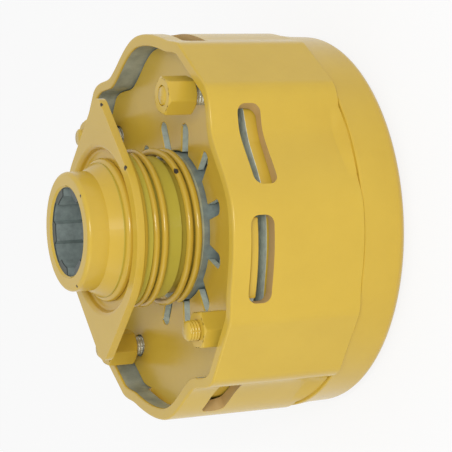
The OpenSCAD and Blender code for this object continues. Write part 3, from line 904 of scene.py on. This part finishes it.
@dataclass
class ReliefStuds:
    """The four studs with their threads. Sizes in millimetres.

    The thread's form is its depth at equal steps along one turn, as a share of the full depth.
    """

    radius: float = 5.0
    thread: float = 1.5
    depth: float = 0.4
    form: tuple[float, ...] = (0.0, 0.15, 0.75, 1.0, 0.75, 0.15)
    low: float = 68.0
    top: float = 109.4
    point: float = 1.0
    sides: int = 40
    coated_from: float = 97.0

    def _ring(self, radius: float, z: float) -> list[Vector]:
        """Return one level ring of a stud on the axis."""
        return [around(radius, 360 * i / self.sides, z) for i in range(self.sides)]

    def _stud(self) -> Shell:
        """Return one stud on the axis."""
        rows = len(self.form)
        count = math.ceil((self.top - self.low) / self.thread * rows) + rows
        rings = [self._ring(self.radius - self.depth, self.low)]
        for k in range(-rows, count):
            ring = []
            for i in range(self.sides):
                z = self.low + self.thread * (k / rows + i / self.sides)
                held = min(max(z, self.low), self.top)
                taper = max(0.0, held - (self.top - self.point))
                cut = self.depth if z <= self.low else self.depth * self.form[k % rows]
                radius = min(self.radius - cut, self.radius - taper)
                ring.append(around(radius, 360 * i / self.sides, held))
            rings.append(ring)
        rings.append(self._ring(self.radius - self.point, self.top))
        return swept_rings(rings, closed=False)

    def build(self, plating: Material, coat: Material) -> None:
        """Make the studs, plated up to the nuts and painted at their ends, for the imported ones."""
        points, faces = self._stud()
        axes = [around(STUD_CIRCLE, FIRST_STUD + quarter, 0) for quarter in QUARTERS]
        shells = [([p + axis for p in points], faces) for axis in axes]
        studs = new_piece("relief_stud_threads", *merged(shells))
        studs.data.materials.append(plating)
        studs.data.materials.append(coat)
        for face in studs.data.polygons:
            face.material_index = int(face.center.z > self.coated_from * MM)
        studs.data.set_sharp_from_angle(angle=FINE_CREASE)
        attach(studs, Body.HOUSING.value)
        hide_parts("relief_studs")


@dataclass
class CollarSpring:
    """The collar's coil spring as a smooth wire, from its seat up. Sizes in millimetres."""

    seat: float
    radius: float = 38.5
    wire: float = 3.5
    turns: float = 3.4
    start: float = -75.0
    open_share: float = 0.57
    steps: int = 96
    sides: int = 20

    def _rise(self, t: float) -> float:
        """Height of the wire's middle along the spring, both from 0 to 1, mostly in one turn."""
        low, opened = (1 - self.open_share) / 2, 1 / self.turns
        first = (1 - opened) / 2
        if t < first:
            return low * smooth(t / first)
        if t > first + opened:
            return 1 - low * smooth((1 - t) / first)
        return low + self.open_share * smooth((t - first) / opened)

    def build(self, coat: Material, floor_of_sleeve: float, keep: float) -> None:
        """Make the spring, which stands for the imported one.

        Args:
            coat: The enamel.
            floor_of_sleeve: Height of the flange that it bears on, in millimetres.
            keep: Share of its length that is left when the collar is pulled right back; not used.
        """
        wire_r = self.wire / 2
        low, high = self.seat + wire_r, floor_of_sleeve - wire_r
        angles = [2 * math.pi * k / self.sides for k in range(self.sides)]
        section = [(wire_r * math.cos(w), wire_r * math.sin(w)) for w in angles]
        count = round(self.turns * self.steps)
        rings = []
        for i in range(count + 1):
            t = i / count
            turn, z = self.start + 360 * self.turns * t, low + (high - low) * self._rise(t)
            rings.append([around(self.radius + x, turn, z + y) for x, y in section])
        spring = new_piece("collar_coil", *swept_rings(rings, closed=False))
        spring.data.set_sharp_from_angle(angle=FINE_CREASE)
        paint(spring, coat, Slot.ENAMEL)
        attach(spring, Body.SPRING.value)
        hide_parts("collar_spring")
        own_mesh(spring)


@dataclass(frozen=True)
class Lamp:
    """A square soft lamp, with its place and size in metres and its power in watts."""

    name: str
    place: Triple
    size: float
    power: float

    def hang(self, target: Sequence[float]) -> None:
        """Hang the lamp so that it looks at a target."""
        data = bpy.data.lights.new(self.name, "AREA")
        data.shape = "SQUARE"
        data.size = self.size
        data.energy = self.power
        lamp = bpy.data.objects.new(self.name, data)
        lamp.location = self.place
        lamp.rotation_mode = "QUATERNION"
        aim = Vector(target) - Vector(self.place)
        lamp.rotation_quaternion = aim.to_track_quat("-Z", "Y")
        lamp.visible_camera = False
        bpy.context.scene.collection.objects.link(lamp)


@dataclass
class Studio:
    """Camera, lamps, floor and background.

    Places are in metres in the row frame, where +Y is up in the picture.
    """

    camera_at: Triple = (0.85168, 0.0, 0.46548)
    camera_towards: Triple = (-0.9006144, -0.0015393, -0.4346163)
    camera_up: Triple = (0.0224881, 0.9984892, -0.0501365)
    lens: float = 144.87
    sensor: float = 36.0
    middle: Triple = (0.0, 0.0, 0.07)
    lamps: tuple[Lamp, ...] = (Lamp("front", (0.92, 0.10, 0.62), size=0.30, power=4.6),
                               Lamp("under", (0.45, -0.95, 0.35), size=0.70, power=1.6))
    white: Triple = (1.0, 1.0, 1.0)
    floor_half: float = 6.0
    floor_tone: float = 0.86
    floor_rough: float = 0.9
    floor_glow: float = 0.85
    world_level: float = 0.66

    def build(self) -> None:
        """Set the camera, the lamps, the floor and the background."""
        self._camera()
        for lamp in self.lamps:
            lamp.hang(self.middle)
        self._floor()
        self._world()
        bpy.context.scene.view_settings.view_transform = "Standard"

    def _camera(self) -> None:
        """Put the camera where the photograph was taken from."""
        data = bpy.data.cameras.new("camera")
        data.lens = self.lens
        data.sensor_width = self.sensor
        camera = bpy.data.objects.new("camera", data)
        bpy.context.scene.collection.objects.link(camera)
        back = -Vector(self.camera_towards).normalized()
        right = Vector(self.camera_up).cross(back).normalized()
        up = back.cross(right)
        turn = Matrix((right, up, back)).transposed().to_4x4()
        camera.matrix_world = Matrix.Translation(self.camera_at) @ turn
        bpy.context.scene.camera = camera

    def _floor(self) -> None:
        """Lay a pale floor that keeps the coupling's shadow, and glows where it is seen."""
        half = self.floor_half
        places = ((-half, -half), (half, -half), (half, half), (-half, half))
        floor = new_piece("floor", [Vector((x, y, 0)) for x, y in places], [(0, 1, 2, 3)])
        made, graph, shader = new_material("pale_floor")
        graph.feed(shader, {"Base Color": rgba((self.floor_tone,) * 3),
                            "Roughness": self.floor_rough, "Specular IOR Level": 0.0})
        glow = graph.node("Emission", {"Color": rgba(self.white), "Strength": 1.0})
        share = graph.math("MULTIPLY", graph.seen(), self.floor_glow)
        mixed = graph.node("MixShader", {0: share, 1: shader.outputs[0], 2: glow.outputs[0]})
        graph.feed(made.node_tree.nodes["Material Output"], {"Surface": mixed.outputs[0]})
        floor.data.materials.append(made)

    def _world(self) -> None:
        """Light the coupling evenly, with a white background."""
        world = bpy.data.worlds.new("studio")
        bpy.context.scene.world = world
        world.use_nodes = True
        graph = Graph(world.node_tree)
        inputs = {0: graph.seen(), 2: self.world_level, 3: 1.0}
        level = graph.node("Mix", inputs, data_type="FLOAT")
        graph.feed(world.node_tree.nodes["Background"],
                   {"Color": rgba(self.white), "Strength": level.outputs[0]})


@dataclass
class Coupling:
    """The whole coupling: which finish and which eased edges each piece gets."""

    nodes: dict[str, Piece]
    effects: Effects
    travel: float = 9.0
    # The disc's bare walls show a steel lightened as painted light, where they lie in shade.
    disc_bare_painted_light: float = 92.6
    # The pressure plate's bare face shows a steel lightened as painted light, where it lies in shade.
    press_bare_painted_light: tuple[Stretch, ...] = (Stretch(0, 200, 76.8, 200), Stretch(0, 80, 0, 200))
    hub_bare: tuple[Stretch, ...] = (Stretch(0, 22.4, 0, 142.6), Stretch(0, 60, 0, 86))
    # The bore's mouth is darkened: painted shade in the bore.
    hub_mouth_painted_shade: tuple[Stretch, ...] = (Stretch(0, 22.4, 141.2, 142.6),)
    # Darker olive tint on the hub's barrel: painted shade and painted reflection among the collar's
    # parts.
    hub_barrel_painted_shade: tuple[Stretch, ...] = (Stretch(0, 60, 86, 126),)
    plate_edge: Edge = Edge(0.2)
    plate_spots: tuple[Spot, ...] = (
        Spot(63.6, 79.7, 125.2, 1.2), Spot(52.4, 54.1, 125.2, 0.9), Spot(51.2, 48.5, 125.2, 1.1),
        Spot(49.9, 41.1, 125.2, 1.0), Spot(47.8, 37.9, 125.2, 1.2))
    spring_spots: tuple[Spot, ...] = (Spot(40.2, 43.1, 94.6, 1.6),)
    hub_spots: tuple[Spot, ...] = (Spot(28.0, 37.8, 143.0, 0.8), Spot(29.0, -69.7, 143.0, 0.8))

    def make(self, finish: Enamel | BareMetal) -> Material:
        """Build one finish from the shared effects."""
        return finish.material(self.effects)

    def dress(self, name: str, material: Material, slot: Slot, edge: Edge | None = None) -> None:
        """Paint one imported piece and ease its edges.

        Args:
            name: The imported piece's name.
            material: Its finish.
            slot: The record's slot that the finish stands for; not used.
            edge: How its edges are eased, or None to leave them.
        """
        piece = self.nodes[name]
        paint(piece, material, slot)
        if edge is not None:
            ease_edges(piece, edge)
        log.info("%s: %s", name, material.name)

    def build(self) -> None:
        """Dress every piece."""
        enamel = self.make(Enamel("enamel"))
        wire = self.make(Enamel("spring_enamel", spots=self.spring_spots, rough=0.18))
        self._new_pieces(enamel, wire)
        self._painted_pieces(wire)
        self._plain_pieces()

    def _new_pieces(self, enamel: Material, wire: Material) -> None:
        """Make the finer pieces, in the plain enamel and the collar spring's."""
        drum_wall = BareMetal("bare_drum_wall", light=(0.46, 0.52, 0.49), dark=(0.25, 0.30, 0.29),
                              metallic=0.2, grain=90.0)
        # The cut walls' pale pink tint is a painted reflection of the white surroundings, over their
        # own enamel.
        cut_wall_painted_reflection = Enamel("cut_wall_enamel_painted_reflection", paint=(0.60, 0.40, 0.15), shade=(0.48, 0.33, 0.15),
                          rough=0.4)
        drum = Drum()
        drum.build(enamel, self.make(drum_wall), self.make(cut_wall_painted_reflection))
        zinc = BareMetal("zinc_plate", light=(0.66, 0.64, 0.50), dark=(0.495, 0.48, 0.375),
                         metallic=0.35, rough=0.4, grain=400.0, bump=0.01)
        ReliefStuds().build(self.make(zinc), enamel)
        sleeve_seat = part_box("collar_spring")[1].z / MM
        spring_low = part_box("collar_spring")[0].z / MM
        length = sleeve_seat - spring_low
        CollarSpring(spring_low).build(wire, sleeve_seat, (length - self.travel) / length)
        Flange().build(enamel)
        # The disc's bare walls get a light steel: painted light in the slots' shade.
        disc_coat_painted_light = Enamel("disc_enamel_painted_light", steel=(0.74, 0.82, 0.72), bare_walls=self.disc_bare_painted_light)
        DiscSpring().build(drum, self.make(disc_coat_painted_light))
        ReliefNuts().build(self.nodes["relief_nuts"], enamel)

    def _painted_pieces(self, wire: Material) -> None:
        """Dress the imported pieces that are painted, the snap ring like the collar spring."""
        hub = Enamel("hub_enamel", steel=(0.32, 0.38, 0.36), spots=self.hub_spots,
                     bare=self.hub_bare, bare_painted_shade=self.hub_mouth_painted_shade, painted_shade_zones=self.hub_barrel_painted_shade)
        self.dress("hub", self.make(hub), Slot.ENAMEL)
        self.dress("snap_ring", wire, Slot.ENAMEL)
        plate = Enamel("plate_enamel", spots=self.plate_spots)
        self.dress("lock_plate", self.make(plate), Slot.ENAMEL, self.plate_edge)
        # The sleeve's darker, greener enamel is painted shade and painted reflection from the parts
        # round it.
        sleeve_painted_shade = Enamel("sleeve_enamel_painted_shade", paint=(0.55, 0.47, 0.067), shade=(0.49, 0.41, 0.057))
        self.dress("lock_sleeve", self.make(sleeve_painted_shade), Slot.ENAMEL)
        # The plate's bare face gets a light steel: painted light where it lies in shade behind the
        # disc's slots.
        press_painted_light = Enamel("pressure_plate_enamel_painted_light", steel=(0.80, 0.86, 0.76), bare=self.press_bare_painted_light)
        self.dress("pressure_plate", self.make(press_painted_light), Slot.CASTING)

    def _plain_pieces(self) -> None:
        """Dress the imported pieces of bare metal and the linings."""
        casting = BareMetal("bare_casting", light=(0.56, 0.61, 0.47), dark=(0.38, 0.42, 0.32),
                            metallic=0.2)
        ground = BareMetal("ground_steel", light=(0.58, 0.58, 0.55), dark=(0.40, 0.40, 0.38),
                           metallic=0.8, rough=0.4)
        bronze = BareMetal("bearing_bronze", light=(0.55, 0.34, 0.12), dark=(0.38, 0.22, 0.08),
                           metallic=0.9, rough=0.45)
        lining = BareMetal("friction_lining", light=(0.09, 0.075, 0.055),
                           dark=(0.035, 0.03, 0.025), metallic=0.0, rough=0.95, grain=900.0)
        linings = tuple(f"friction_lining_{letter}" for letter in "abcd")
        for finish, slot, names in (
                (casting, Slot.CASTING, ("middle_plate", "spring_washer")),
                (ground, Slot.GROUND,
                 ("rear_drive_plate", "front_drive_plate", "retaining_ring", "lock_balls")),
                (bronze, Slot.BRONZE, ("hub_bush", "front_thrust_washer", "rear_thrust_washer")),
                (lining, Slot.LINING, linings)):
            material = self.make(finish)
            for name in names:
                self.dress(name, material, slot)


def main() -> None:
    """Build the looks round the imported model."""
    logging.basicConfig(level=logging.INFO, format="%(name)s: %(message)s")
    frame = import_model()
    effects = Effects()
    effects.build()
    Coupling(frame["nodes"], effects).build()
    Studio().build()


if __name__ == "__main__":
    main()
